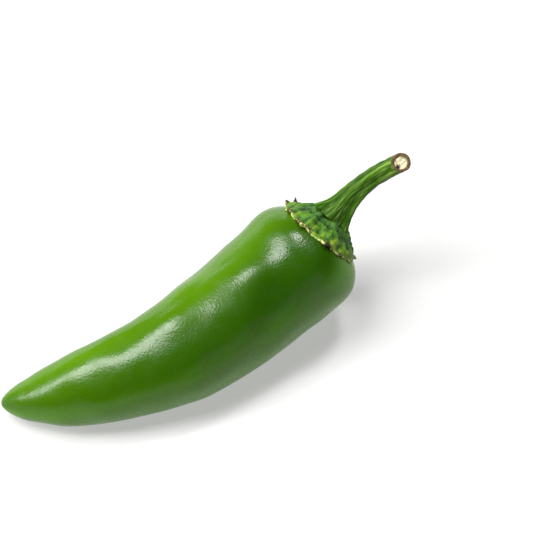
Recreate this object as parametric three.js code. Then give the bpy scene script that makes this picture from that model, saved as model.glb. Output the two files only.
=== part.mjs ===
// A green chilli pepper of the jalapeno kind, lying on its side as picked.
// It has three grown parts: the pod, the calyx that caps the pod's shoulder, and the stem with its cut end.
// Millimetres, +Z up. The tip points to -X and the stem to +X. The pod lies on a narrow flat strip, and the
// origin is on that plane, under the middle of the pepper.
import * as THREE from "three";

const UP = new THREE.Vector3(0, 0, 1);
const TURN = 2 * Math.PI;
const DEGREE = Math.PI / 180;
const FIT_GAP = 0.3; // clearance between two neighbouring parts

// Pod: its middle line from the tip to the crown, and its radius at distances along that line.
const POD_LINE = [
  [-78.4, -1.2, 5.6],
  [-73.6, -3.7, 6.4],
  [-66.9, -6.9, 8.1],
  [-56.8, -10.4, 10.2],
  [-46.0, -12.5, 11.5],
  [-35.0, -13.5, 12.7],
  [-23.7, -12.3, 13.7],
  [-12.4, -10.4, 15.0],
  [-1.8, -8.8, 18.5],
  [9.4, -6.8, 25.0],
];
const POD_GIRTH = [
  [0, 3.0],
  [5, 4.4],
  [9, 5.8],
  [13, 7.2],
  [24, 9.7],
  [35, 11.2],
  [46, 12.8],
  [58, 13.8],
  [70, 14.3],
  [81, 14.7],
  [96, 15.0],
];
const NOSE_LENGTH = 6; // the tip is rounded off over this length
const DOME_LENGTH = 13.5; // and the shoulder over this one
const DOME_FULLNESS = 2.4; // 2 is an ellipse, and more is squarer
const POD_RINGS = 56;
const POD_SIDES = 44;
const PROFILE_STEPS = 400; // how finely the pod's profile is measured to space its rings
// Shallow lobes that run the length of the pod: count round the pod, height, starting angle, twist per mm.
const POD_LOBES = [
  { count: 3, height: 0.3, start: 0.5, twist: 0.012 },
  { count: 5, height: 0.14, start: 2.1, twist: -0.02 },
];
const LOBE_FADE_IN = 25; // over this length from the tip
const LOBE_FADE_OUT = 14; // and this length before the dome
const REST_HEIGHT = 0.3; // the underside is cut flat at this height, to lie on

// Calyx: angles on the dome are measured from the crown. Each tooth has its place round the
// stem, counted from the top towards -Y, and its length.
const CALYX_REACH = 40.5 * DEGREE;
const CALYX_SWAY = 4.5 * DEGREE; // it reaches this much farther on the upper side, and less below
const CALYX_TEETH = [
  [3, 1.5],
  [40, 0.8],
  [58, 0.5],
  [90, 1.3],
  [130, 1.4],
  [170, 1.2],
  [210, 1.6],
  [250, 1.3],
  [288, 1.2],
  [334, 0.6],
];
const TOOTH_HALF_WIDTH = 11 * DEGREE;
const TOOTH_POINT = 1.4; // 1 is a triangle, and more is a thinner point
const TOOTH_STEPS = [0, 0.1, 0.22, 0.36, 0.5, 0.64, 0.78, 0.9];
const MARGIN_THICKNESS = 0.7;
const CREST_RISE = 0.9; // it grows thicker by this much towards the pad
const RIB_HEIGHT = 0.5;
const RIB_HALF_WIDTH = 8 * DEGREE;
const RIB_AT_MARGIN = 0.4; // share of the rib's height that is left at the margin
// Rings of the calyx, as shares of its reach: under it from the middle outwards, and over it back inwards.
const UNDER_SHARES = [0.15, 0.4, 0.7, 0.9, 1];
const OVER_SHARES = [1, 0.93, 0.8, 0.66, 0.54];
const INNERMOST_SHARE = 0.45; // where the pad takes over
const PAD_RADIUS = 5.1; // the flat pad that the stem grows from
const PAD_HEIGHT = 1.5;

// Stem: its middle line from the pad, as offsets from the pad's centre.
const STEM_LINE = [
  [6.2, 0.9, 4.6],
  [12.3, 0.2, 9.2],
  [17.7, -2.2, 13.7],
];
const STEM_START = 3.5; // it leaves the pad square to it for this length
const STEM_GIRTH = [
  [0, 5.0],
  [2, 4.1],
  [5, 3.2],
  [9, 2.65],
  [14, 2.35],
  [18, 2.3],
  [24, 2.45],
];
const STEM_RIDGES = 5;
const RIDGE_SHARE = 0.07; // ridge height as a share of the radius
const STEM_RINGS = 26;
const STEM_SIDES = 30;
const SLANT_RINGS = 3; // rings left out before the cut end, which its slant would cross
const CUT_NORMAL = new THREE.Vector3(0.2, -0.51, 0.83).normalize();
const RIM_SHARE = 0.7; // the flat rim's inner edge as a share of the cut end's radius
const PITH_SHARE = 0.6; // and the sunk pith's edge
const PITH_DEPTH = 0.35;

const SKIN_GREEN = 0x2f6d0c;
const CALYX_GREEN = 0x5d8a2a;
const STEM_GREEN = 0x4d8420;

function vector([x, y, z]) {
  return new THREE.Vector3(x, y, z);
}

// A smooth curve through [distance, radius] pairs.
function girthOf(pairs) {
  const distances = pairs.map(([distance]) => distance);
  const radii = pairs.map(([, radius]) => radius);
  const curve = new THREE.CubicInterpolant(distances, radii, 1);
  return (distance) => curve.evaluate(distance)[0];
}

// One closed surface through rings of equal count, closed by a point at each end.
function loft(first, rings, last) {
  const sides = rings[0].length;
  const points = [first, ...rings.flat(), last];
  const end = points.length - 1;
  const index = [];
  for (let i = 0; i < sides; i++) {
    const next = (i + 1) % sides;
    index.push(0, 1 + next, 1 + i);
    for (let k = 0; k < rings.length - 1; k++) {
      const low = 1 + k * sides;
      const high = low + sides;
      index.push(low + i, low + next, high + next);
      index.push(low + i, high + next, high + i);
    }
    index.push(end - sides + i, end - sides + next, end);
  }
  const geometry = new THREE.BufferGeometry().setFromPoints(points);
  geometry.setIndex(index);
  geometry.computeVertexNormals();
  return geometry;
}

function part(name, geometry, color, roughness) {
  const material = new THREE.MeshStandardMaterial({ color, roughness, metalness: 0 });
  const mesh = new THREE.Mesh(geometry, material);
  mesh.name = name;
  return mesh;
}

// Pod
const podLine = new THREE.CatmullRomCurve3(POD_LINE.map(vector), false, "centripetal");
const podLength = podLine.getLength();
const podGirth = girthOf(POD_GIRTH);
const domeStart = podLength - DOME_LENGTH;

// The middle line's point, its direction, and the pod's own up and side directions there.
function podFrame(distance) {
  const u = THREE.MathUtils.clamp(distance / podLength, 0, 1);
  const centre = podLine.getPointAt(u);
  const along = podLine.getTangentAt(u);
  const side = new THREE.Vector3().crossVectors(along, UP).normalize();
  const top = new THREE.Vector3().crossVectors(side, along);
  return { centre, along, side, top };
}

function outward(frame, angle) {
  return frame.top.clone().multiplyScalar(Math.cos(angle)).addScaledVector(frame.side, Math.sin(angle));
}

function podRadius(distance) {
  const nose = Math.max(0, 1 - distance / NOSE_LENGTH);
  const dome = Math.max(0, (distance - domeStart) / DOME_LENGTH);
  const shoulder = Math.max(0, 1 - dome ** DOME_FULLNESS) ** (1 / DOME_FULLNESS);
  return podGirth(distance) * Math.sqrt(1 - nose ** 2) * shoulder;
}

// The lobes fade out at both ends, so that the dome under the calyx is smooth.
function lobeHeight(distance, angle) {
  const fadeIn = THREE.MathUtils.smoothstep(distance, 0, LOBE_FADE_IN);
  const fadeOut = 1 - THREE.MathUtils.smoothstep(distance, domeStart - LOBE_FADE_OUT, domeStart);
  let sum = 0;
  for (const { count, height, start, twist } of POD_LOBES) {
    sum += height * Math.cos(count * angle + start + twist * distance);
  }
  return sum * fadeIn * fadeOut;
}

function podRing(distance) {
  const frame = podFrame(distance);
  const ring = [];
  for (let i = 0; i < POD_SIDES; i++) {
    const angle = (i / POD_SIDES) * TURN;
    const radius = podRadius(distance) + lobeHeight(distance, angle);
    const point = frame.centre.clone().addScaledVector(outward(frame, angle), radius);
    point.z = Math.max(point.z, REST_HEIGHT);
    ring.push(point);
  }
  return ring;
}

// Rings stand closer together at the rounded ends, where the radius changes fast.
function podDistances() {
  const profile = new THREE.Path();
  for (let i = 0; i <= PROFILE_STEPS; i++) {
    const distance = podLength * (0.5 - 0.5 * Math.cos((Math.PI * i) / PROFILE_STEPS));
    if (i === 0) profile.moveTo(distance, podRadius(distance));
    else profile.lineTo(distance, podRadius(distance));
  }
  return profile.getSpacedPoints(POD_RINGS + 1).slice(1, -1).map((point) => point.x);
}

function podMesh() {
  const rings = podDistances().map(podRing);
  const geometry = loft(podFrame(0).centre, rings, podFrame(podLength).centre);
  return part("pod", geometry, SKIN_GREEN, 0.3);
}

// Calyx
const toothAngles = CALYX_TEETH.map(([degrees]) => degrees * DEGREE);

// Angles round the calyx: every tooth's tip, and the same steps between each tip and the next.
function calyxAngles() {
  return toothAngles.flatMap((angle, i) => {
    const next = i + 1 < toothAngles.length ? toothAngles[i + 1] : toothAngles[0] + TURN;
    return TOOTH_STEPS.map((step) => angle + step * (next - angle));
  });
}

// The angle between two directions round the stem, from 0 to half a turn.
function apart(a, b) {
  return Math.abs(THREE.MathUtils.euclideanModulo(a - b + Math.PI, TURN) - Math.PI);
}

// How far round the dome the calyx reaches at an angle: a plain edge with pointed teeth.
function calyxReach(angle) {
  const teeth = CALYX_TEETH.reduce((sum, [degrees, length]) => {
    const share = Math.max(0, 1 - apart(angle, degrees * DEGREE) / TOOTH_HALF_WIDTH);
    return sum + length * share ** TOOTH_POINT;
  }, 0);
  return CALYX_REACH + CALYX_SWAY * Math.cos(angle) + teeth / podGirth(podLength);
}

// Ribs run from the pad out to the teeth, and the skin between them is sunk.
function ribShare(angle) {
  const nearest = Math.min(...toothAngles.map((tooth) => apart(angle, tooth)));
  return Math.exp(-((nearest / RIB_HALF_WIDTH) ** 2));
}

// A point at a height above the dome, at an angle from the crown and an angle round it.
function domePoint(fromCrown, angle, height) {
  const distance = domeStart + DOME_LENGTH * Math.cos(fromCrown) ** (2 / DOME_FULLNESS);
  const frame = podFrame(distance);
  const radius = podRadius(distance);
  const out = outward(frame, angle);
  const steep = 2 - 2 / DOME_FULLNESS;
  const normal = frame.along
    .clone()
    .multiplyScalar(Math.cos(fromCrown) ** steep / DOME_LENGTH)
    .addScaledVector(out, Math.sin(fromCrown) ** steep / podGirth(podLength))
    .normalize();
  return frame.centre.clone().addScaledVector(out, radius).addScaledVector(normal, height);
}

const crown = podFrame(podLength);

function padRing(share) {
  return calyxAngles().map((angle) =>
    crown.centre
      .clone()
      .addScaledVector(crown.along, PAD_HEIGHT)
      .addScaledVector(outward(crown, angle), PAD_RADIUS * share),
  );
}

function calyxMesh() {
  const angles = calyxAngles();
  const under = UNDER_SHARES.map((share) =>
    angles.map((angle) => domePoint(calyxReach(angle) * share, angle, FIT_GAP)),
  );
  const over = OVER_SHARES.map((share) =>
    angles.map((angle) => {
      const inner = 1 - THREE.MathUtils.smoothstep(share, INNERMOST_SHARE, 1);
      const rib = RIB_HEIGHT * ribShare(angle) * (RIB_AT_MARGIN + (1 - RIB_AT_MARGIN) * inner);
      const height = FIT_GAP + MARGIN_THICKNESS + CREST_RISE * inner + rib;
      return domePoint(calyxReach(angle) * share, angle, height);
    }),
  );
  const rings = [...under, ...over, padRing(1), padRing(0.5)];
  const under0 = domePoint(0, 0, FIT_GAP);
  const pad = crown.centre.clone().addScaledVector(crown.along, PAD_HEIGHT);
  return part("calyx", loft(under0, rings, pad), CALYX_GREEN, 0.55);
}

// Stem
const stemBase = crown.centre.clone().addScaledVector(crown.along, PAD_HEIGHT + FIT_GAP);
const stemLine = new THREE.CatmullRomCurve3(
  [
    stemBase,
    stemBase.clone().addScaledVector(crown.along, STEM_START),
    ...STEM_LINE.map((offset) => vector(offset).add(stemBase)),
  ],
  false,
  "centripetal",
);
const stemLength = stemLine.getLength();
const stemGirth = girthOf(STEM_GIRTH);
const stemFrames = stemLine.computeFrenetFrames(STEM_RINGS, false);

function stemRing(step, share) {
  const u = step / STEM_RINGS;
  const centre = stemLine.getPointAt(u);
  const ring = [];
  for (let i = 0; i < STEM_SIDES; i++) {
    const angle = (i / STEM_SIDES) * TURN;
    const ridge = 1 + RIDGE_SHARE * Math.cos(STEM_RIDGES * angle);
    const radius = stemGirth(u * stemLength) * ridge * share;
    const point = centre
      .clone()
      .addScaledVector(stemFrames.normals[step], radius * Math.cos(angle))
      .addScaledVector(stemFrames.binormals[step], radius * Math.sin(angle));
    ring.push(point);
  }
  return ring;
}

// Moves a point along the stem's end onto the slanted plane of the cut.
function ontoCut(point) {
  const end = stemLine.getPointAt(1);
  const along = stemLine.getTangentAt(1);
  const slide = CUT_NORMAL.dot(end.clone().sub(point)) / CUT_NORMAL.dot(along);
  return point.addScaledVector(along, slide);
}

function stemMesh() {
  const rings = [stemRing(0, 0.5)];
  for (let step = 0; step <= STEM_RINGS - SLANT_RINGS; step++) rings.push(stemRing(step, 1));
  rings.push(stemRing(STEM_RINGS, 1).map(ontoCut));
  const down = stemLine.getTangentAt(1).multiplyScalar(-PITH_DEPTH);
  rings.push(stemRing(STEM_RINGS, RIM_SHARE).map(ontoCut));
  rings.push(stemRing(STEM_RINGS, PITH_SHARE).map((point) => ontoCut(point).add(down)));
  const last = stemLine.getPointAt(1).add(down);
  return part("stem", loft(stemBase, rings, last), STEM_GREEN, 0.5);
}

const pepper = new THREE.Group();
pepper.add(podMesh(), calyxMesh(), stemMesh());
const box = new THREE.Box3().setFromObject(pepper);
pepper.position.set(-(box.min.x + box.max.x) / 2, -(box.min.y + box.max.y) / 2, -box.min.z);

export default pepper;
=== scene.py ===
"""A green chilli pepper, as picked, lying on a pale surface in soft studio light.

It has three grown pieces: the glossy pod, the fleshy calyx that caps its shoulder, and the ridged stem with
its cut end. Each piece stands for the CAD node of the same name. The sizes in the classes are millimetres in
the frame that the pepper was drawn in, and ROW_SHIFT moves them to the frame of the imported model.
"""

import logging
import math
from collections.abc import Mapping, Sequence
from dataclasses import dataclass
from enum import Enum
from typing import Any

import bpy
import numpy as np
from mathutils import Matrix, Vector


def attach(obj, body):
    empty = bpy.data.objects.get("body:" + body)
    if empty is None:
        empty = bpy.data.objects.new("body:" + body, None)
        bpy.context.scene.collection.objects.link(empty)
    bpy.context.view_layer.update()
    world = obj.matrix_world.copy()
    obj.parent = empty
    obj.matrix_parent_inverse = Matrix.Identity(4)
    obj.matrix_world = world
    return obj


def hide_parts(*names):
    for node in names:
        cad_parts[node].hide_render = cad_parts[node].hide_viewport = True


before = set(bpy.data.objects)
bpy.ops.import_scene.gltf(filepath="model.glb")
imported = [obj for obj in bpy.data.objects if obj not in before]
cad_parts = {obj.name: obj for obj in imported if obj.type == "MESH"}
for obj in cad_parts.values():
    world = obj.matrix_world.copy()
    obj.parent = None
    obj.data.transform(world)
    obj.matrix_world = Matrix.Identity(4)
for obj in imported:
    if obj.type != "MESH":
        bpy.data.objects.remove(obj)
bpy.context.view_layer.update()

Array = np.ndarray
log = logging.getLogger("pepper")

MM = 0.001
TURN = 2 * math.pi
BODY = "root"
ROW_SHIFT = np.array([23.497, 10.307, -0.3])
FIT_GAP = 0.3  # between neighbouring pieces
MIX_A, MIX_B, MIX_OUT = 6, 7, 2  # the colour sockets of a mix node
GRAIN_SPAN = (0.3, 0.7)  # grain seldom leaves it


class Slot(Enum):
    """Names for the pepper's material slots."""

    POD_SKIN = "pod_skin"
    CALYX_LEAF = "calyx_leaf"
    STEM_FLESH = "stem_flesh"


# -------- numbers and curves


def smoothstep(x: Array | float, low: float, high: float) -> Array:
    """A step that rises smoothly from 0 at low to 1 at high, read at each x."""
    share = np.clip((np.asarray(x, float) - low) / (high - low), 0.0, 1.0)
    return share * share * (3 - 2 * share)


def unit(vectors: Array) -> Array:
    """Scales each vector to length 1."""
    return vectors / np.linalg.norm(vectors, axis=-1, keepdims=True)


def bell(x: Array, width: float) -> Array:
    """A smooth bump of height 1 at x = 0 that has faded at about twice its width."""
    return np.exp(-((x / width) ** 2))


def turned_by(angle: Array, middle: Array | float) -> Array:
    """How far angles have turned past the middle, from minus to plus half a turn."""
    return np.mod(angle - middle + math.pi, TURN) - math.pi


class Spline:
    """A curve through knots whose slope and bend change without a step, so that highlights run smoothly."""

    def __init__(self, knots: Sequence[float], values: Sequence[Any]) -> None:
        """Solves for the bend at each knot.

        Args:
            knots: Rising positions.
            values: A number or point for each of them.
        """
        self.knots = np.asarray(knots, float)
        self.values = np.asarray(values, float).reshape(len(self.knots), -1)
        gaps = np.diff(self.knots)
        slopes = np.diff(self.values, axis=0) / gaps[:, None]
        system = np.eye(len(self.knots))
        target = np.zeros_like(self.values)
        for i in range(1, len(self.knots) - 1):
            system[i, i - 1 : i + 2] = gaps[i - 1], 2 * (gaps[i - 1] + gaps[i]), gaps[i]
            target[i] = 6 * (slopes[i] - slopes[i - 1])
        self.bends = np.linalg.solve(system, target)

    def at(self, x: Array) -> Array:
        """Reads the curve.

        Args:
            x: Positions, held inside the first and last knot.

        Returns:
            One row of values for each position.
        """
        x = np.clip(np.asarray(x, float), self.knots[0], self.knots[-1])
        i = np.clip(np.searchsorted(self.knots, x) - 1, 0, len(self.knots) - 2)
        gap = (self.knots[i + 1] - self.knots[i])[..., None]
        after = (x - self.knots[i])[..., None]
        before = gap - after
        low, high = self.bends[i], self.bends[i + 1]
        bend = (low * before**3 + high * after**3) / (6 * gap)
        left = (self.values[i] / gap - low * gap / 6) * before
        right = (self.values[i + 1] / gap - high * gap / 6) * after
        return bend + left + right


class GrowthLine:
    """A piece's middle line, read by the distance along it."""

    FINE_STEPS = 4001

    def __init__(self, points: Sequence[Sequence[float]] | Array) -> None:
        """Measures a smooth curve through the points.

        Args:
            points: Points of the line, in millimetres.
        """
        places = np.asarray(points, float)
        chords = np.linalg.norm(np.diff(places, axis=0), axis=1)
        knots = np.concatenate([[0.0], np.cumsum(chords)])
        self.places = Spline(knots, places).at(np.linspace(0, knots[-1], self.FINE_STEPS))
        steps = np.linalg.norm(np.diff(self.places, axis=0), axis=1)
        self.distances = np.concatenate([[0.0], np.cumsum(steps)])
        self.length = float(self.distances[-1])
        self.directions = unit(np.gradient(self.places, self.distances, axis=0))

    def _read(self, table: Array, distance: Array) -> Array:
        """Reads a table of vectors at distances along the line."""
        return np.stack([np.interp(distance, self.distances, table[:, k]) for k in range(3)], axis=-1)

    def centre(self, distance: Array) -> Array:
        """The line's points at distances along it."""
        return self._read(self.places, distance)

    def along(self, distance: Array) -> Array:
        """The line's directions at distances along it."""
        return unit(self._read(self.directions, distance))


class Unevenness:
    """Gentle bumps in space, of about one size, the same on every run."""

    WAVES = 36

    def __init__(self, seed: int, shortest: float, longest: float) -> None:
        """Draws the waves that the bumps are made of.

        Args:
            seed: Seed of the draw.
            shortest: Shortest wavelength, in millimetres.
            longest: Longest wavelength.
        """
        draw = np.random.default_rng(seed)
        directions = unit(draw.normal(size=(self.WAVES, 3)))
        lengths = np.exp(draw.uniform(math.log(shortest), math.log(longest), self.WAVES))
        self.waves = directions * (TURN / lengths)[:, None]
        self.phases = draw.uniform(0, TURN, self.WAVES)

    def at(self, points: Array) -> Array:
        """Bump height at points, mostly between -1 and 1.

        Args:
            points: Points in millimetres, in the last axis.

        Returns:
            The height at each point.
        """
        total = np.zeros(points.shape[:-1])
        for wave, phase in zip(self.waves, self.phases):
            total += np.cos(points @ wave + phase)
        return total / math.sqrt(self.WAVES / 2)


# -------- meshes


def placed(name: str, data: bpy.types.ID) -> bpy.types.Object:
    """Puts a new object in the scene.

    Args:
        name: Name of the object.
        data: Its mesh, light or camera.

    Returns:
        The object.
    """
    thing = bpy.data.objects.new(name, data)
    bpy.context.scene.collection.objects.link(thing)
    return thing


@dataclass
class Skin:
    """A closed surface in the making, in millimetres: rings of equal count, and a point at each end."""

    rings: Array  # rings by sides by 3
    first: Array  # closes the first ring
    last: Array  # closes the last one
    marks: dict[str, Array]  # numbers or vectors for each ring point that the material reads

    def faces(self) -> list[tuple[int, ...]]:
        """Joins the rings.

        Returns:
            The fans at the ends and the squares between them, as point numbers.
        """
        count, sides = self.rings.shape[:2]
        here = np.arange(sides)
        after = (here + 1) % sides
        low = 1 + np.arange(count - 1)[:, None] * sides
        squares = np.stack([low + here, low + after, low + sides + after, low + sides + here], axis=-1)
        end = count * sides + 1
        start_fan = [(0, 1 + int(b), 1 + int(a)) for a, b in zip(here, after)]
        end_fan = [(end - sides + int(a), end - sides + int(b), end) for a, b in zip(here, after)]
        return start_fan + [tuple(square) for square in squares.reshape(-1, 4).tolist()] + end_fan

    def build(self, name: str) -> bpy.types.Object:
        """Makes the Blender object, in metres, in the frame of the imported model.

        Args:
            name: Name of the piece.

        Returns:
            The new object, smooth shaded.
        """
        points = np.concatenate([self.first[None], self.rings.reshape(-1, 3), self.last[None]])
        mesh = bpy.data.meshes.new(name)
        mesh.from_pydata(((points + ROW_SHIFT) * MM).tolist(), [], self.faces())
        for mark, values in self.marks.items():
            flat = np.broadcast_to(values, self.rings.shape[:2] + values.shape[2:]).reshape(-1, *values.shape[2:])
            full = np.concatenate([flat[:1], flat, flat[-1:]]).astype(np.float32)
            kind, key = ("FLOAT_VECTOR", "vector") if full.ndim == 2 else ("FLOAT", "value")
            mesh.attributes.new(mark, kind, "POINT").data.foreach_set(key, full.ravel())
        mesh.shade_smooth()
        mesh.update()
        return placed(name, mesh)


def settle(piece: bpy.types.Object, node: str) -> None:
    """Puts a piece in the place of its CAD node.

    Args:
        piece: The finished piece.
        node: The CAD node that it stands for.
    """
    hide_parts(node)
    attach(piece, BODY)


# -------- finishes


def colour(code: str) -> tuple[float, float, float, float]:
    """Turns an sRGB hex colour to linear.

    Args:
        code: Six hex digits.

    Returns:
        Linear red, green and blue, and an alpha of 1.
    """
    shares = [int(code[i : i + 2], 16) / 255 for i in (0, 2, 4)]
    linear = [s / 12.92 if s <= 0.04045 else ((s + 0.055) / 1.055) ** 2.4 for s in shares]
    return (*linear, 1.0)


def add_node(
    tree: bpy.types.NodeTree, kind: str, inputs: Mapping[str | int, Any] | None = None, **settings: Any
) -> bpy.types.Node:
    """Adds one node with its settings and links.

    Args:
        tree: The material's or world's node tree.
        kind: Blender's name for the node type.
        inputs: Socket name or number, and the value, hex colour or output socket that feeds it.
        **settings: The node's own settings.

    Returns:
        The new node.
    """
    node = tree.nodes.new(kind)
    for name, value in settings.items():
        setattr(node, name, value)
    for socket, value in (inputs or {}).items():
        if isinstance(value, bpy.types.NodeSocket):
            tree.links.new(value, node.inputs[socket])
        else:
            node.inputs[socket].default_value = colour(value) if isinstance(value, str) else value
    return node


class Palette:
    """A material's node tree while it is being mixed."""

    def __init__(self, name: str) -> None:
        """Starts an empty material of that name."""
        self.material = bpy.data.materials.new(name)
        self.material.use_nodes = True
        self.tree = self.material.node_tree
        self.tree.nodes.clear()

    def mark(self, name: str, output: str = "Fac") -> bpy.types.NodeSocket:
        """Reads a mark that the mesh carries."""
        return add_node(self.tree, "ShaderNodeAttribute", attribute_name=name).outputs[output]

    def stretched(self, place: bpy.types.NodeSocket, scale: tuple[float, float, float]) -> bpy.types.NodeSocket:
        """Scales a place along its three directions."""
        return add_node(self.tree, "ShaderNodeMapping", {"Vector": place, "Scale": scale}).outputs["Vector"]

    def grain(self, place: bpy.types.NodeSocket, size: float, detail: float = 2.0) -> bpy.types.NodeSocket:
        """Cloudy grain around 0.5, with clouds of a size in millimetres and a number of finer layers."""
        inputs = {"Vector": place, "Scale": 1 / size, "Detail": detail}
        return add_node(self.tree, "ShaderNodeTexNoise", inputs).outputs["Fac"]

    def ranged(
        self, value: bpy.types.NodeSocket, low: float, high: float, start: float = 0.0, end: float = 1.0
    ) -> bpy.types.NodeSocket:
        """Maps low..high to start..end, and holds the ends."""
        inputs = {"Value": value, "From Min": low, "From Max": high, "To Min": start, "To Max": end}
        return add_node(self.tree, "ShaderNodeMapRange", inputs).outputs["Result"]

    def product(self, first: bpy.types.NodeSocket, second: bpy.types.NodeSocket) -> bpy.types.NodeSocket:
        """Multiplies two numbers."""
        return add_node(self.tree, "ShaderNodeMath", {0: first, 1: second}, operation="MULTIPLY").outputs[0]

    def mixed(self, share: Any, first: Any, second: Any) -> bpy.types.NodeSocket:
        """Mixes two colours: all first at share 0, all second at 1."""
        inputs = {0: share, MIX_A: first, MIX_B: second}
        return add_node(self.tree, "ShaderNodeMix", inputs, data_type="RGBA").outputs[MIX_OUT]

    def relief(
        self, height: bpy.types.NodeSocket, depth: float, under: bpy.types.NodeSocket | None = None
    ) -> bpy.types.NodeSocket:
        """Turns a height into relief.

        Args:
            height: Height share.
            depth: The relief's depth in millimetres.
            under: Relief that this one lies on.

        Returns:
            The bent normal.
        """
        inputs: dict[str | int, Any] = {"Height": height, "Distance": depth * MM}
        if under is not None:
            inputs["Normal"] = under
        return add_node(self.tree, "ShaderNodeBump", inputs).outputs["Normal"]

    def finish(self, **sockets: Any) -> bpy.types.Material:
        """Ends the tree in one surface shader.

        Args:
            **sockets: The shader's sockets, with _ for each space in their names.

        Returns:
            The material.
        """
        inputs = {name.replace("_", " "): value for name, value in sockets.items()}
        shader = add_node(self.tree, "ShaderNodeBsdfPrincipled", inputs)
        add_node(self.tree, "ShaderNodeOutputMaterial", {"Surface": shader.outputs["BSDF"]})
        return self.material


@dataclass(frozen=True)
class WaxySkin:
    """Pod skin: a firm green rind under a clear waxy cuticle.

    The cuticle is smooth but pebbled by the cells under it, so the eye sees bright highlights that look
    sprayed on rather than drawn, over a deep green. Painted light makes it yellower on the side towards the
    lights, on the lobes and towards the tip; painted shade darkens the furrows, and painted bounce light from
    the floor makes the underside paler.
    """

    deep: str = "1a3b00"
    # painted light: the paler green of the lit side, the crests and the tip
    painted_light_green: str = "416600"
    # painted bounce light from the floor, on the underside
    painted_bounce_light: str = "467604"
    scar: str = "a39d76"
    cell_size: float = 0.55  # drawn coarser than the real 0.1 mm, so that it shows
    cell_relief: float = 0.05
    dimple_size: float = 1.7
    dimple_relief: float = 0.04
    clouds: float = 11.0
    cloud_stretch: float = 0.35  # along the pod
    gloss_size: float = 3.0
    gloss_low: float = 0.22
    gloss_high: float = 0.32

    def build(self) -> bpy.types.Material:
        """Mixes the finish.

        Returns:
            The material.
        """
        p = Palette("waxy_chilli_rind")
        place = p.mark("grow", "Vector")
        long_place = p.stretched(place, (self.cloud_stretch, 1, 1))
        cloud = p.ranged(p.grain(long_place, self.clouds, 3), *GRAIN_SPAN, 0.7, 1.1)
        # painted light on the lit side, the crests and the tip, and painted shade in the furrows
        green = p.mixed(p.product(cloud, p.mark("painted_light")), self.deep, self.painted_light_green)
        # painted bounce light from the floor on the underside
        green = p.mixed(p.mark("painted_bounce_light"), green, self.painted_bounce_light)
        green = p.mixed(p.mark("scar"), green, self.scar)
        cells = p.grain(place, self.cell_size, 1)
        dimples = p.grain(place, self.dimple_size)
        bent = p.relief(cells, self.cell_relief, p.relief(dimples, self.dimple_relief))
        gloss = p.ranged(p.grain(place, self.gloss_size), *GRAIN_SPAN, self.gloss_low, self.gloss_high)
        return p.finish(Base_Color=green, Roughness=gloss, IOR=1.45, Specular_IOR_Level=0.3, Normal=bent)


@dataclass(frozen=True)
class SepalTissue:
    """Calyx: thick green sepals, grown together, with a dull downy surface.

    The eye sees a matte, crumpled cap with painted shade in its creases and round the stem's foot,
    yellow-green where it thins out towards a dry pale rim, with painted light on its blisters, and brown at
    the withered points.
    """

    # painted shade for the creases and the stem's foot
    painted_crease_shade: str = "193c09"
    flesh: str = "38620c"
    # yellow-green of the thinning margin, and painted light on the blisters
    thin_edge_and_blister_light: str = "6b820b"
    rim: str = "b2ae72"
    dried: str = "2c1d0c"
    down_size: float = 0.4  # drawn coarser than the real 0.1 mm, so that it shows
    down_relief: float = 0.14
    clouds: float = 1.8
    rim_patches: float = 0.6

    def build(self) -> bpy.types.Material:
        """Mixes the finish.

        Returns:
            The material.
        """
        p = Palette("downy_sepal_tissue")
        place = p.mark("grow", "Vector")
        cloud = p.ranged(p.grain(place, self.clouds, 3), 0.35, 0.65)
        # yellow-green towards the margin, and painted light on the raised blisters
        flesh = p.mixed(p.product(cloud, p.mark("thin_edge_and_blister_light")), self.flesh, self.thin_edge_and_blister_light)
        # painted shade in the creases and round the stem's foot
        flesh = p.mixed(p.mark("painted_crease_shade"), flesh, self.painted_crease_shade)
        ragged = p.ranged(p.grain(place, self.rim_patches), 0.3, 0.6)
        flesh = p.mixed(p.product(p.mark("rim"), ragged), flesh, self.rim)
        flesh = p.mixed(p.mark("dried"), flesh, self.dried)
        rough = p.ranged(cloud, 0, 1, 0.5, 0.62)
        bent = p.relief(p.grain(place, self.down_size, 3), self.down_relief)
        return p.finish(Base_Color=flesh, Roughness=rough, Specular_IOR_Level=0.3, Normal=bent)


@dataclass(frozen=True)
class StemTissue:
    """Stem: a tough green stalk, grown in ridges, with fibres along it.

    The eye sees a satin green with fine lengthwise streaks, paler lines along the ridges that are painted
    highlight, and darker valleys between them and at the foot that are painted shade.
    """

    # painted shade in the valleys and at the foot
    painted_valley_shade: str = "153104"
    flesh: str = "234503"
    # painted highlight along the ridges
    painted_crest_light: str = "65862c"
    fibre: str = "849b54"
    streak_size: float = 0.9
    streak_stretch: float = 0.12  # along the stem
    streak_relief: float = 0.1
    line_size: float = 0.26
    line_stretch: float = 0.06
    line_relief: float = 0.07
    speck_size: float = 0.35
    speck_relief: float = 0.03

    def build(self) -> bpy.types.Material:
        """Mixes the finish.

        Returns:
            The material.
        """
        p = Palette("ridged_stalk_rind")
        place = p.mark("grow", "Vector")
        streak = p.grain(p.stretched(place, (self.streak_stretch, 1, 1)), self.streak_size, 3)
        fine = p.grain(p.stretched(place, (self.line_stretch, 1, 1)), self.line_size, 3)
        # painted shade in the valleys and at the foot
        dark = p.product(p.mark("painted_valley_shade"), p.ranged(fine, 0.38, 0.62, 1, 0.55))
        green = p.mixed(dark, self.flesh, self.painted_valley_shade)
        # painted highlight along the ridges
        pale = p.product(p.ranged(streak, 0.45, 0.62, 0.1, 0.8), p.mark("painted_crest_light"))
        green = p.mixed(pale, green, self.painted_crest_light)
        green = p.mixed(p.ranged(fine, 0.5, 0.7, 0, 0.42), green, self.fibre)
        bent = p.relief(fine, self.line_relief, p.relief(streak, self.streak_relief))
        bent = p.relief(p.grain(place, self.speck_size, 1), self.speck_relief, bent)
        rough = p.ranged(streak, *GRAIN_SPAN, 0.4, 0.56)
        return p.finish(Base_Color=green, Roughness=rough, IOR=1.45, Specular_IOR_Level=0.05, Normal=bent)


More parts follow.
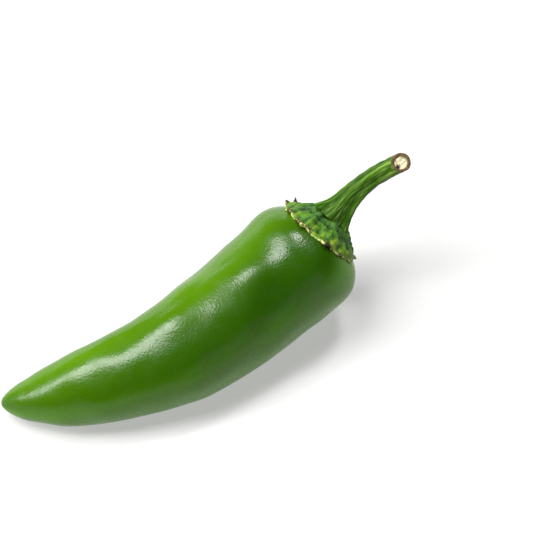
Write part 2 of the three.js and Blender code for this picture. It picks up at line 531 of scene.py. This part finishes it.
@dataclass(frozen=True)
class CutTissue:
    """The stem's cut end: a ring of dried brown bark round a dry, open pith.

    The eye sees a dark brown ring, a cream middle that is streaked like cork, and a hole where the pith has
    shrunk away, which is painted near-black as shade.
    """

    bark: str = "372916"
    bark_pale: str = "665334"
    pith: str = "cfc8a6"
    pith_dull: str = "a3925f"
    # painted shade in the hole
    hole: str = "1c1408"
    bark_size: float = 0.5
    cork_size: float = 0.55
    cork_relief: float = 0.12

    def build(self) -> bpy.types.Material:
        """Mixes the finish.

        Returns:
            The material.
        """
        p = Palette("dried_stalk_cut")
        place = p.mark("grow", "Vector")
        bark = p.ranged(p.grain(place, self.bark_size, 3), 0.35, 0.7)
        ring = p.mixed(bark, self.bark, self.bark_pale)
        cork = p.grain(place, self.cork_size, 3)
        pith = p.mixed(p.ranged(cork, 0.42, 0.7), self.pith, self.pith_dull)
        both = p.mixed(p.mark("pith"), ring, pith)
        # painted shade in the sunk hole
        both = p.mixed(p.mark("hole"), both, self.hole)
        return p.finish(Base_Color=both, Roughness=0.8, IOR=1.4, Normal=p.relief(cork, self.cork_relief))


# -------- pod


@dataclass(frozen=True)
class Lobe:
    """A shallow swelling that repeats round the pod and runs its length."""

    count: int  # round the pod
    height: float
    start: float  # angle of the first, in radians
    twist: float  # how far they turn per millimetre


@dataclass(frozen=True)
class Furrow:
    """A shallow valley that runs along the pod."""

    path: tuple[tuple[float, float], ...]  # distance from the tip, and degrees round the pod
    depth: float
    half_width: float
    fade: float = 12.0  # each end fades out over this length

    def height(self, distance: Array, angle: Array, radius: Array) -> Array:
        """Height that the furrow adds.

        Args:
            distance: Distances from the tip.
            angle: Angles round the pod.
            radius: The pod's radii there.

        Returns:
            The heights in millimetres, below 0.
        """
        knots, degrees = zip(*self.path)
        middle = Spline(knots, np.radians(degrees)).at(distance)[..., 0]
        start, end = knots[0], knots[-1]
        ends = smoothstep(distance, start, start + self.fade) * (1 - smoothstep(distance, end - self.fade, end))
        return -self.depth * bell(turned_by(angle, middle) * radius, self.half_width) * ends


@dataclass(frozen=True)
class Swelling:
    """A broad, low swelling on one side of the pod."""

    distance: float  # from the tip to its middle
    angle: float  # of its middle round the pod, in degrees
    height: float
    half_length: float
    spread: float  # half its width round the pod, in degrees

    def raised(self, distance: Array, angle: Array) -> Array:
        """Height that the swelling adds at distances and angles."""
        off = turned_by(angle, math.radians(self.angle))
        return self.height * bell(distance - self.distance, self.half_length) * bell(off, math.radians(self.spread))


@dataclass
class Pod:
    """The pod: a tapering, slightly bent fruit with a rounded nose and a full shoulder."""

    line_points: tuple[tuple[float, float, float], ...] = (
        (-78.4, -1.2, 5.6), (-73.6, -3.7, 6.4), (-66.9, -6.9, 8.1), (-56.8, -10.4, 10.2), (-46.0, -12.5, 11.5),
        (-35.0, -13.5, 12.7), (-23.7, -12.3, 13.7), (-12.4, -10.4, 15.0), (-1.8, -8.8, 18.5), (9.4, -6.8, 25.0),
    )
    girths: tuple[tuple[float, float], ...] = (
        (0, 3.0), (5, 4.4), (9, 5.8), (13, 7.2), (24, 9.7), (35, 11.2),
        (46, 12.8), (58, 13.8), (70, 14.3), (81, 14.7), (96, 15.0),
    )
    nose_length: float = 6.0
    dome_length: float = 13.5
    dome_fullness: float = 2.4
    lobes: tuple[Lobe, ...] = (Lobe(3, 0.3, 0.5, 0.012), Lobe(5, 0.14, 2.1, -0.02))
    lobe_fade_in: float = 25.0
    lobe_fade_out: float = 14.0
    rest_height: float = 0.3
    furrows: tuple[Furrow, ...] = (
        Furrow(((22, -8), (30, -9), (38, -13), (46, -19), (56, -23), (66, -22), (74, -20)), 0.28, 2.0),
    )
    swellings: tuple[Swelling, ...] = (
        Swelling(70.5, 8, 0.7, 5, 24), Swelling(64, 10, 0.6, 6, 24),
        Swelling(56, 42, 0.6, 9, 24), Swelling(86, 112, 1.0, 7, 32),
    )
    wave_height: float = 0.1
    wave_fade: tuple[float, float] = (1.0, 6.0)  # radii between which the waves fade in
    # painted light: the side that faces the lights is painted paler
    painted_light_side: float = math.radians(-38)
    painted_light_spread: float = math.radians(38)
    painted_light_least: float = 0.03
    painted_light_most: float = 0.7
    paler: tuple[tuple[float, float, float], ...] = ((0.3, 8, 50), (0.17, 55, 75))  # share, full up to, gone from
    painted_relief_light: float = 0.3  # painted light on the crests and painted shade in the furrows, per millimetre of relief
    # painted bounce light: the underside is painted paler between these angles
    painted_bounce_from: tuple[float, float] = (math.radians(46), math.radians(96))
    scar_edge: tuple[float, float] = (0.05, 0.5)
    rings: int = 330
    sides: int = 210
    finish: WaxySkin = WaxySkin()

    def __post_init__(self) -> None:
        """Measures the middle line and the girth."""
        self.line = GrowthLine(self.line_points)
        self.length = self.line.length
        self.dome_start = self.length - self.dome_length
        self.girth = Spline(*zip(*self.girths))
        self.crown_girth = float(self.girth.at(np.array(self.length))[0])
        self.waves = Unevenness(seed=11, shortest=8.0, longest=20.0)

    def outward(self, distance: Array, angle: Array) -> Array:
        """Directions away from the middle line.

        Args:
            distance: Distances from the tip.
            angle: Angles from the top towards the near side.

        Returns:
            The directions, of length 1.
        """
        along = self.line.along(distance)
        side = unit(np.cross(along, (0.0, 0.0, 1.0)))
        top = np.cross(side, along)
        return top * np.cos(angle)[..., None] + side * np.sin(angle)[..., None]

    def radius(self, distance: Array) -> Array:
        """The plain radius, with both ends rounded off.

        Args:
            distance: Distances from the tip.

        Returns:
            The radii there.
        """
        nose = np.maximum(0, 1 - distance / self.nose_length)
        dome = np.clip((distance - self.dome_start) / self.dome_length, 0, 1)
        shoulder = np.maximum(0, 1 - dome**self.dome_fullness) ** (1 / self.dome_fullness)
        return self.girth.at(distance)[..., 0] * np.sqrt(1 - nose**2) * shoulder

    def lobe_height(self, distance: Array, angle: Array) -> Array:
        """Height of the lobes, which fade out towards both ends."""
        fade_out = 1 - smoothstep(distance, self.dome_start - self.lobe_fade_out, self.dome_start)
        return smoothstep(distance, 0, self.lobe_fade_in) * fade_out * sum(
            lobe.height * np.cos(lobe.count * angle + lobe.start + lobe.twist * distance) for lobe in self.lobes
        )

    def painted_light_share(self, distance: Array, angle: Array) -> Array:
        """How much the skin is painted paler: painted light on the side towards the lights, and paler towards the
        tip.

        Args:
            distance: Distances from the tip.
            angle: Angles round the pod.

        Returns:
            The shares of the paler green.
        """
        towards_tip = sum(share * (1 - smoothstep(distance, full, gone)) for share, full, gone in self.paler)
        painted_light = bell(turned_by(angle, self.painted_light_side), self.painted_light_spread)
        return self.painted_light_least + self.painted_light_most * painted_light + towards_tip

    def painted_bounce_share(self, angle: Array) -> Array:
        """How much the underside is painted paler, as painted bounce light from the floor."""
        return smoothstep(np.abs(turned_by(angle, 0)), *self.painted_bounce_from)

    def distances(self) -> Array:
        """Places the rings, closer together at the ends, where the radius changes fast.

        Returns:
            Their distances from the tip.
        """
        steps = self.length * (0.5 - 0.5 * np.cos(np.linspace(0, math.pi, GrowthLine.FINE_STEPS)))
        run = np.hypot(np.diff(steps), np.diff(self.radius(steps)))
        walked = np.concatenate([[0.0], np.cumsum(run)])
        return np.interp(np.linspace(0, walked[-1], self.rings + 2)[1:-1], walked, steps)

    def dome_point(self, from_crown: Array, angle: Array, height: Array) -> Array:
        """Points over the shoulder's dome.

        Args:
            from_crown: Angles down from the crown.
            angle: Angles round it.
            height: Heights above the skin.

        Returns:
            The points, in millimetres.
        """
        distance = self.dome_start + self.dome_length * np.cos(from_crown) ** (2 / self.dome_fullness)
        centre, along, out = self.line.centre(distance), self.line.along(distance), self.outward(distance, angle)
        steep = 2 - 2 / self.dome_fullness
        normal = unit(
            along * (np.cos(from_crown) ** steep / self.dome_length)[..., None]
            + out * (np.sin(from_crown) ** steep / self.crown_girth)[..., None]
        )
        return centre + out * self.radius(distance)[..., None] + normal * height[..., None]

    def surface(self) -> Skin:
        """Makes the skin, with its lobes, furrows, swellings and unevenness.

        Returns:
            Its rings, from the tip up.
        """
        distance, angle = np.meshgrid(self.distances(), np.arange(self.sides) * TURN / self.sides, indexing="ij")
        plain = self.radius(distance)
        centre = self.line.centre(distance)
        out = self.outward(distance, angle)
        lobes = self.lobe_height(distance, angle)
        waves = self.wave_height * self.waves.at(centre + out * plain[..., None])
        waves = waves * smoothstep(plain, *self.wave_fade)
        furrows = sum(furrow.height(distance, angle, plain) for furrow in self.furrows)
        swollen = sum(swelling.raised(distance, angle) for swelling in self.swellings)
        points = centre + out * (plain + lobes + waves + furrows + swollen)[..., None]
        points[..., 2] = np.maximum(points[..., 2], self.rest_height)
        marks = {
            "grow": np.stack([distance, plain * np.cos(angle), plain * np.sin(angle)], axis=-1),
            # painted light on the lit side, the crests and the tip, and painted shade in the furrows
            "painted_light": np.clip(self.painted_light_share(distance, angle) + (lobes + furrows) * self.painted_relief_light, 0, 1),
            # painted bounce light from the floor on the underside
            "painted_bounce_light": self.painted_bounce_share(angle),
            "scar": 1 - smoothstep(distance, *self.scar_edge),
        }
        return Skin(points, self.line.centre(np.array(0.0)), self.line.centre(np.array(self.length)), marks)

    def build(self) -> bpy.types.Object:
        """Builds and dresses the pod.

        Returns:
            The piece.
        """
        piece = self.surface().build("pod_skin")
        piece.data.materials.append(self.finish.build())
        settle(piece, "pod")
        return piece


# -------- calyx


@dataclass(frozen=True)
class Tooth:
    """A pointed tooth of the calyx."""

    place: float  # round the stem, in degrees from the top towards the near side
    length: float  # beyond the plain edge
    lift: float  # how far its point stands off the pod
    dried: float  # share of it that has withered brown
    half_width: float  # at the plain edge, in degrees
    rib: float = 1.0  # share of the full rib that runs to it


@dataclass
class Calyx:
    """The calyx: a ribbed, crumpled cap pressed onto the shoulder, with a ragged, toothed margin."""

    pod: Pod
    reach_plain: float = math.radians(40.5)
    reach_sway: float = math.radians(4.5)
    teeth: tuple[Tooth, ...] = (
        Tooth(3, 1.3, 1.1, 1.0, 15),
        Tooth(39, 1.0, 0.9, 1.0, 11),
        Tooth(46, 0.4, 0.3, 0.5, 4, 0),
        Tooth(60, 0.6, 0.4, 0.5, 5, 0.5),
        Tooth(73, 0.5, 0.3, 0.4, 5, 0.3),
        Tooth(88, 1.1, 0.35, 0.35, 9),
        Tooth(131, 0.7, 0.9, 0.35, 12),
        Tooth(170, 1.2, 0.4, 0.6, 10),
        Tooth(210, 1.5, 0.5, 0.5, 11),
        Tooth(238, 0.7, 0.5, 0.7, 7),
        Tooth(262, 0.5, 4.2, 1.0, 14, 0.6),
        Tooth(289, 0.3, 1.8, 1.0, 9),
        Tooth(334, 0.7, 1.1, 1.0, 8),
    )
    margin_thickness: float = 0.32
    lip_width: float = 0.35  # the margin rounds off over this width
    under_gap: float = 0.08
    crest_rise: float = 0.95
    rib_height: float = 0.6
    rib_half_width: float = math.radians(5)
    rib_sway: float = 0.07
    rib_at_margin: float = 0.35
    innermost_share: float = 0.45
    ragged: float = 0.14
    ragged_radius: float = 11.0
    rough_height: float = 0.05
    wrinkle_height: float = 0.02
    blister_height: float = 0.17
    fold_height: float = 0.16
    fold_counts: tuple[int, int] = (17, 31)
    knob_height: float = 0.55
    knob_size: float = 0.45
    collar_radius: float = 4.9
    collar_height: float = 0.65
    collar_middle: float = 0.55  # share of its height inside its crest
    collar_fade: float = 1.3
    ring_crease_radius: float = 6.8
    ring_crease_depth: float = 0.25
    ring_crease_width: float = 0.45
    rim_width: float = 0.13
    sides: int = 540
    over_rings: int = 64
    over_power: float = 1.35  # gathers the rings at the margin
    under_shares: tuple[float, ...] = (0.2, 0.5, 0.75, 0.9, 0.96, 1.0)
    finish: SepalTissue = SepalTissue()

    def __post_init__(self) -> None:
        """Draws the unevenness."""
        self.girth = self.pod.crown_girth
        self.rough = Unevenness(seed=5, shortest=0.9, longest=3.0)
        self.blisters = Unevenness(seed=14, shortest=1.9, longest=4.0)
        self.wrinkles = Unevenness(seed=8, shortest=0.5, longest=1.1)

    def apart(self, angle: Array, place: float) -> Array:
        """Angles between directions round the stem and a place in degrees, from 0 to half a turn."""
        return np.abs(turned_by(angle, math.radians(place)))

    def tooth_share(self, angle: Array, tooth: Tooth) -> Array:
        """1 at a tooth's point, and 0 beyond its sides."""
        return np.maximum(0, 1 - self.apart(angle, tooth.place) / math.radians(tooth.half_width))

    def margin(self, turn: Array) -> tuple[Array, Array]:
        """How far down from the crown the cap reaches.

        Args:
            turn: Angles round the stem.

        Returns:
            The angles of the ragged edge there, without and with its teeth.
        """
        circle = np.stack([np.cos(turn), np.sin(turn), np.zeros_like(turn)], axis=-1) * self.ragged_radius
        plain = self.reach_plain + self.reach_sway * np.cos(turn) + self.ragged * self.rough.at(circle) / self.girth
        tips = sum(tooth.length * self.tooth_share(turn, tooth) for tooth in self.teeth)
        return plain, plain + tips / self.girth

    def ribs(self, angle: Array, share: Array, inner: Array) -> Array:
        """The swaying ribs that run to the teeth, wider towards the middle.

        Args:
            angle: Angles round the stem.
            share: Shares of the way to the margin.
            inner: How much a place belongs to the middle.

        Returns:
            Their height shares.
        """
        swayed = angle + self.rib_sway * np.sin(5 * share + 3 * angle)
        width = self.rib_half_width * (1 + 0.6 * inner)
        return np.minimum(sum(tooth.rib * bell(self.apart(swayed, tooth.place), width) for tooth in self.teeth), 1)

    def folds(self, angle: Array, share: Array, across: Array) -> Array:
        """The fine folds between the collar and the margin.

        Args:
            angle: Angles round the stem.
            share: Shares of the way to the margin.
            across: Distances from the stem.

        Returns:
            Their height shares, below 0 in the creases.
        """
        few, many = self.fold_counts
        wavy = 0.5 * np.cos(few * angle + 2 * np.sin(6 * share)) + 0.5 * np.cos(many * angle - 5 * share + 1)
        return wavy * smoothstep(across, 4.5, 6.5) * (1 - smoothstep(share, 0.75, 1))

    def collar(self, across: Array, angle: Array, rough: Array) -> Array:
        """The low collar round the stem's foot, which is filled inside and fades outwards.

        Args:
            across: Distances from the stem.
            angle: Angles round it.
            rough: Unevenness there.

        Returns:
            Its heights.
        """
        beyond = across - self.collar_radius
        inside = self.collar_middle + (1 - self.collar_middle) * bell(beyond, 0.6)
        wavy = 1 + 0.12 * np.cos(5 * angle + 0.6) + 0.1 * rough
        return self.collar_height * np.where(beyond < 0, inside, bell(beyond, self.collar_fade)) * wavy

    def dryness(self, angle: Array, edge: Array, rough: Array) -> Array:
        """Share of the tissue that has withered brown, in patches at the teeth's points."""
        points = sum(
            tooth.dried
            * self.tooth_share(angle, tooth) ** 0.25
            * (1 - smoothstep(edge, 0.5 * tooth.length + 0.4, tooth.length + 1.0))
            for tooth in self.teeth
        )
        return np.clip(1.3 * points * smoothstep(rough, -1.2, 0.4), 0, 1)

    def surface(self) -> Skin:
        """Makes the cap.

        Returns:
            Its rings: under it from the middle outwards, and over it back inwards.
        """
        turn = np.arange(self.sides) * TURN / self.sides
        plain, reach = self.margin(turn)
        over_shares = 1 - np.linspace(0, 1, self.over_rings)[:-1] ** self.over_power
        share, angle = np.meshgrid(np.concatenate([self.under_shares, over_shares]), turn, indexing="ij")
        is_over = (np.arange(len(share)) >= len(self.under_shares))[:, None]
        from_crown = share * reach
        across = self.girth * np.sin(from_crown) ** (2 / self.pod.dome_fullness)
        edge = (1 - share) * reach * self.girth
        beyond = np.clip((from_crown - plain * 0.93) * self.girth, 0, None)
        lift = sum(
            tooth.lift * self.tooth_share(angle, tooth) ** 0.6 * smoothstep(beyond, 0.2, 1.8) for tooth in self.teeth
        )
        lip = np.sqrt(1 - np.clip(1 - edge / self.lip_width, 0, 1) ** 2)
        inner = 1 - smoothstep(share, self.innermost_share, 1)
        rib, fold = self.ribs(angle, share, inner), self.folds(angle, share, across)
        at_tooth = sum(tooth.dried * self.tooth_share(angle, tooth) ** 0.5 for tooth in self.teeth)
        place = self.pod.dome_point(from_crown, angle, np.ones_like(share))
        rough, blisters = self.rough.at(place), self.blisters.at(place)
        crumple = self.blister_height * blisters + self.rough_height * rough
        crumple = (crumple + self.wrinkle_height * self.wrinkles.at(place)) * smoothstep(edge, 0, 1)
        ring_crease = bell(across - self.ring_crease_radius, self.ring_crease_width) * (1 - 0.6 * rib)
        body = (
            self.margin_thickness * lip
            + self.crest_rise * inner
            + self.rib_height * rib * (self.rib_at_margin + (1 - self.rib_at_margin) * inner) * lip
            + self.fold_height * fold
            + self.knob_height * at_tooth * bell(edge - self.knob_size, self.knob_size)
            + crumple
            + self.collar(across, angle, rough)
            - self.ring_crease_depth * ring_crease
        )
        height = self.under_gap + lift + np.where(is_over, np.maximum(body, 0.1 * lip), 0)
        points = self.pod.dome_point(from_crown, angle, height)
        # painted shade in the ring crease, the folds and the dips of the crumple
        painted_valley_shade = np.clip(0.9 * ring_crease + 0.9 * np.clip(-fold, 0, 1) - 2.7 * crumple, 0, 1)
        marks = {
            "grow": points,
            "rim": bell(edge, self.rim_width + 0.5 * at_tooth**2),
            # yellow-green towards the margin, and painted light on the raised blisters
            "thin_edge_and_blister_light": smoothstep(share, 0.5, 0.9) * (1 - 0.7 * rib) * np.clip(0.75 + 0.5 * blisters, 0, 1),
            # painted shade in the creases and round the stem's foot
            "painted_crease_shade": np.clip(painted_valley_shade + 0.55 * (1 - smoothstep(across, 5.5, 7.5)), 0, 1),
            "dried": self.dryness(angle, edge, rough),
        }
        heights = (self.under_gap, self.crest_rise + self.collar_middle * self.collar_height)
        first, last = (self.pod.dome_point(np.array(0.0), np.array(0.0), np.array(high)) for high in heights)
        return Skin(points, first, last, marks)

    def build(self) -> bpy.types.Object:
        """Builds and dresses the calyx.

        Returns:
            The piece.
        """
        piece = self.surface().build("calyx_cap")
        piece.data.materials.append(self.finish.build())
        settle(piece, "calyx")
        return piece


# -------- stem


@dataclass
class Stem:
    """The stem: a curved, ridged stalk that flares into the calyx, cut off at a slant."""

    pod: Pod
    pad_height: float = 1.5
    start_length: float = 3.5
    line_offsets: tuple[tuple[float, float, float], ...] = ((6.2, 0.9, 4.6), (12.3, 0.2, 9.2), (17.7, -2.2, 13.7))
    girths: tuple[tuple[float, float], ...] = (
        (0, 5.2), (2, 4.15), (5, 3.2), (9, 2.65), (14, 2.35), (18, 2.3), (24, 2.36),
    )
    ridges: int = 5
    ridge_start: float = 0.33
    ridge_twist: float = 0.019
    ridge_share: float = 0.085
    foot_ridge_share: float = 0.05
    fibre_radius: float = 2.8  # the fibres are laid out on a straight stalk of this radius
    cut_normal: tuple[float, float, float] = (0.2, -0.51, 0.83)
    slant_run: float = 2.2  # the rings lean over to the cut within this length
    pith_share: float = 0.66
    pith_depth: float = 0.35
    pith_roughness: float = 0.12
    bark_rim: float = 0.12
    hole_place: tuple[float, float] = (0.38, -0.16)
    hole_size: float = 0.25
    hole_depth: float = 0.7
    cut_shares: tuple[float, ...] = (0.97, 0.9, 0.82, 0.75, 0.7, 0.66, 0.6, 0.52, 0.44, 0.36, 0.28, 0.2, 0.13, 0.07)
    wobble: float = 0.035
    foot_end: float = 7.0  # the painted shade at the foot fades out up to here
    rings: int = 190
    sides: int = 150
    finish: StemTissue = StemTissue()
    cut_finish: CutTissue = CutTissue()

    def __post_init__(self) -> None:
        """Draws the middle line from the calyx up."""
        crown = np.array(self.pod.length)
        along = self.pod.line.along(crown)
        self.base = self.pod.line.centre(crown) + along * (self.pad_height + FIT_GAP)
        offsets = [self.base + np.array(offset) for offset in self.line_offsets]
        self.line = GrowthLine([self.base, self.base + along * self.start_length, *offsets])
        self.girth = Spline(*zip(*self.girths))

    def turned_frames(self, distances: Array) -> tuple[Array, Array]:
        """Two directions across the stem at each distance that never twist about it.

        Args:
            distances: Rising distances from the base.

        Returns:
            The first and second direction at each distance.
        """
        along = self.line.along(distances)
        across = np.cross(along[0], (0.0, 0.0, 1.0))
        firsts = []
        for direction in along:
            across = unit(across - direction * (across @ direction))
            firsts.append(across)
        first = np.array(firsts)
        return first, np.cross(along, first)

    def ridged(self, distance: Array, angle: Array) -> tuple[Array, Array]:
        """The ridged stalk's cross-section.

        Args:
            distance: Distances from the base.
            angle: Angles round the stem.

        Returns:
            The radii there, and the height share of the ridges.
        """
        phase = self.ridges * (angle + self.ridge_twist * distance) + self.ridge_start
        ridge = 2 * (0.5 + 0.5 * np.cos(phase)) ** 1.6 - 0.9
        fine = 0.35 * np.cos(2 * phase + 1.1) + 0.3 * np.cos(3 * phase + 0.4 + 0.1 * distance)
        height = self.ridge_share + self.foot_ridge_share * np.exp(-distance / 3.5)
        height = height * (1 - 0.85 * smoothstep(distance, self.line.length - 6, self.line.length - 0.6))
        return self.girth.at(distance)[..., 0] * (1 + height * (ridge + 0.25 * fine)), ridge

    def slide_to_cut(self, points: Array, distance: Array) -> Array:
        """How far points slide along the stem, so that its last rings lie in the slanted cut.

        Args:
            points: The upright rings' points.
            distance: Their distances from the base.

        Returns:
            The lengths of the slides.
        """
        end = np.array(self.line.length)
        normal = unit(np.array(self.cut_normal))
        to_cut = ((self.line.centre(end) - points) @ normal) / (self.line.along(end) @ normal)
        lean = smoothstep(distance, self.line.length - self.slant_run, self.line.length)
        return (to_cut - (self.line.length - distance)) * lean

    def cut_relief(self, share: Array, angle: Array, points: Array) -> tuple[Array, Array, Array]:
        """The cut end's relief.

        Args:
            share: Shares of the way out to the bark.
            angle: Angles round the stem.
            points: The cut's points.

        Returns:
            The heights there, and the shares of pith and of the hole in it.
        """
        across = np.hypot(share * np.cos(angle) - self.hole_place[0], share * np.sin(angle) - self.hole_place[1])
        hole = bell(across, self.hole_size)
        pith = 1 - smoothstep(share, self.pith_share - 0.05, self.pith_share + 0.04)
        rough = Unevenness(seed=33, shortest=0.5, longest=1.6).at(points)
        rim = self.bark_rim * bell(share - 0.88, 0.12)
        sunk = self.pith_depth + self.pith_roughness * rough + self.hole_depth * hole
        return rim - pith * sunk, pith, pith * hole

    def surface(self) -> Skin:
        """Makes the stem.

        Returns:
            Its rings, from its foot up and then inwards over the cut end.
        """
        length = self.line.length
        distance = np.concatenate([np.linspace(0, length, self.rings), np.full(len(self.cut_shares), length)])
        share = np.concatenate([np.ones(self.rings), self.cut_shares])[:, None]
        on_cut = share < 1
        first, second = self.turned_frames(distance)
        along = self.line.along(distance)[:, None]
        d, a = np.meshgrid(distance, np.arange(self.sides) * TURN / self.sides, indexing="ij")
        radius, ridge = self.ridged(d, a)
        out = first[:, None] * np.cos(a)[..., None] + second[:, None] * np.sin(a)[..., None]
        points = self.line.centre(distance)[:, None] + out * (radius * share)[..., None]
        wobble = Unevenness(seed=21, shortest=1.5, longest=5.0).at(points)
        points += out * (self.wobble * wobble * ~on_cut)[..., None]
        points += along * self.slide_to_cut(points, d)[..., None]
        relief, pith, hole = self.cut_relief(share, a, points)
        points += along[-1] * (on_cut * relief)[..., None]
        straight = np.stack([d, self.fibre_radius * np.cos(a), self.fibre_radius * np.sin(a)], axis=-1)
        near_foot = 1 - smoothstep(d, 1, self.foot_end)
        # painted shade in the valleys between the ridges
        painted_valley_shade = smoothstep(-ridge, 0.1, 0.9) * (1 - 0.6 * smoothstep(d, 12, length))
        # painted highlight along the ridges, weaker at the foot, and paler towards the cut end
        painted_crest_light = smoothstep(ridge, 0.4, 1.0) * 0.5 * (1 - 0.6 * near_foot) + 0.9 * smoothstep(d, 14, length)
        marks = {
            "grow": np.where(on_cut[..., None], points, straight),
            # painted shade in the valleys and at the foot, where the stem meets the calyx
            "painted_valley_shade": np.maximum(painted_valley_shade, 0.55 * near_foot),
            # painted highlight along the ridges
            "painted_crest_light": np.clip(painted_crest_light, 0, 1),
            "pith": on_cut * pith,
            "hole": np.clip(on_cut * hole * 2.2 - 0.3, 0, 1),
        }
        return Skin(points, self.base, points[-1].mean(axis=0), marks)

    def build(self) -> bpy.types.Object:
        """Builds and dresses the stem.

        Returns:
            The piece.
        """
        piece = self.surface().build("stem_stalk")
        piece.data.materials.append(self.finish.build())
        piece.data.materials.append(self.cut_finish.build())
        first_cut_face = self.sides * self.rings
        slots = np.zeros(len(piece.data.polygons), dtype=np.int32)
        slots[first_cut_face:] = 1
        piece.data.polygons.foreach_set("material_index", slots)
        settle(piece, "stem")
        return piece


# -------- studio


@dataclass(frozen=True)
class Softbox:
    """A soft rectangular light that faces the pepper, with sizes in metres."""

    name: str
    azimuth: float  # degrees from straight behind the pepper towards the camera's right
    elevation: float  # degrees above the floor
    distance: float
    width: float
    height: float
    radiance: float


@dataclass
class Studio:
    """The floor, the lights and the camera."""

    view_azimuth: float = 30.0  # the camera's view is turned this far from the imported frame's +Y
    camera_distance: float = 534.35
    camera_elevation: float = 55.0
    focal_length: float = 135.0
    sensor: float = 36.0
    floor_half_width: float = 2.5
    floor_colour: str = "8a8a89"
    floor_glow: float = 1.7  # lit from below, so that the shadow stays pale
    sky_colour: str = "ffffff"
    sky_strength: float = 0.03
    softboxes: tuple[Softbox, ...] = (
        Softbox("high_window", -98, 68, 0.9, 0.39, 0.42, 24.0),
        Softbox("side_strip", -98, 38, 0.9, 0.2, 0.6, 20.0),
        Softbox("left_glow", -96, 48, 1.1, 0.6, 1.0, 2.0),
        Softbox("small_window", 38, 68, 0.9, 0.15, 0.15, 84.0),
        Softbox("back_wall", -25, 4, 1.3, 1.8, 0.25, 2.7),
        Softbox("front_fill", 140, 16, 1.0, 0.7, 0.4, 0.8),
    )

    def direction(self, azimuth: float, elevation: float) -> Vector:
        """The way from the pepper at degrees to the right of the camera's view and above the floor."""
        turned, high = math.radians(azimuth + self.view_azimuth), math.radians(elevation)
        return Vector((math.sin(turned) * math.cos(high), math.cos(turned) * math.cos(high), math.sin(high)))

    def build_floor(self) -> None:
        """Builds the plain pale floor."""
        half = self.floor_half_width
        mesh = bpy.data.meshes.new("floor")
        mesh.from_pydata([(-half, -half, 0), (half, -half, 0), (half, half, 0), (-half, half, 0)], [], [(0, 1, 2, 3)])
        floor = placed("floor", mesh)
        pale = self.floor_colour
        sheet = Palette("lit_white_acrylic").finish(
            Base_Color=pale, Roughness=0.9, IOR=1.3, Emission_Color=pale, Emission_Strength=self.floor_glow
        )
        mesh.materials.append(sheet)

    def build_lights(self) -> None:
        """Builds the softboxes and the even light round them."""
        for box in self.softboxes:
            light = bpy.data.lights.new(box.name, "AREA")
            light.shape = "RECTANGLE"
            light.size, light.size_y = box.width, box.height
            light.energy = box.radiance * math.pi * box.width * box.height
            lamp = placed(box.name, light)
            away = self.direction(box.azimuth, box.elevation)
            lamp.location = away * box.distance
            lamp.rotation_euler = away.to_track_quat("Z", "Y").to_euler()
        world = bpy.data.worlds.new("studio")
        world.use_nodes = True
        world.node_tree.nodes.clear()
        inputs = {"Color": self.sky_colour, "Strength": self.sky_strength}
        sky = add_node(world.node_tree, "ShaderNodeBackground", inputs)
        add_node(world.node_tree, "ShaderNodeOutputWorld", {"Surface": sky.outputs["Background"]})
        bpy.context.scene.world = world

    def build_camera(self) -> None:
        """Builds the camera at the photograph's viewing angle."""
        lens = bpy.data.cameras.new("camera")
        lens.lens, lens.sensor_width = self.focal_length, self.sensor
        camera = placed("camera", lens)
        target = Vector((float(v) * MM for v in ROW_SHIFT))
        back = self.direction(180.0, self.camera_elevation)
        camera.location = target + back * self.camera_distance * MM
        camera.rotation_euler = back.to_track_quat("Z", "Y").to_euler()
        bpy.context.scene.camera = camera

    def build(self) -> None:
        """Builds the studio."""
        self.build_camera()
        self.build_floor()
        self.build_lights()
        bpy.context.scene.view_settings.view_transform = "Standard"


def report(piece: bpy.types.Object) -> None:
    """Logs a piece's size.

    Args:
        piece: The finished piece.
    """
    corners = np.array([corner[:] for corner in piece.bound_box])
    size = " x ".join(f"{side / MM:.1f}" for side in np.ptp(corners, axis=0))
    log.info("%s: %s mm, %d faces", piece.name, size, len(piece.data.polygons))


def main() -> None:
    """Builds the studio and the pepper, and reports each piece."""
    logging.basicConfig(level=logging.INFO, format="%(name)s %(message)s")
    Studio().build()
    pod = Pod()
    for piece in (pod.build(), Calyx(pod).build(), Stem(pod).build()):
        report(piece)


if __name__ == "__main__":
    main()
